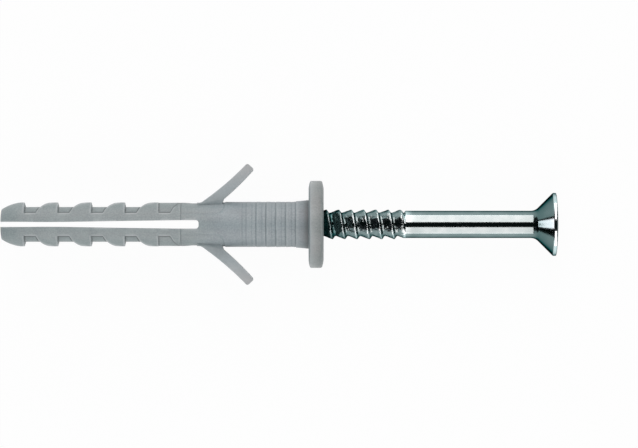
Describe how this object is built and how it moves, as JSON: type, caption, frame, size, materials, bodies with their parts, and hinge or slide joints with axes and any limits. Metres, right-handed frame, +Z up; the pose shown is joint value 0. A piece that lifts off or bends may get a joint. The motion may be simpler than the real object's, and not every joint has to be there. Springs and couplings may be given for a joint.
{
  "type": "hammer fixing plug",
  "caption": "Slotted nylon hammer-in wall plug with barbed legs, fold-down wings and a wide collar, lying on its side with its countersunk nail screw started in the bore.",
  "frame": {"origin": "middle of the bounding box, on the surface the part lies on", "axes": "+X from the plug's tip towards the nail screw's head, +Y along the spread of the wings, +Z up. The part's own axis leans 2.92 degrees down towards the head, because it rests on the collar's and the head's rim"},
  "size_m": [0.0726, 0.0158, 0.0114],
  "materials": {
    "grey_nylon": "satin",
    "zinc_steel": "polished"
  },
  "bodies": {
    "root": {"plug": "grey_nylon", "nail_screw": "zinc_steel"}
  },
  "joints": []
}
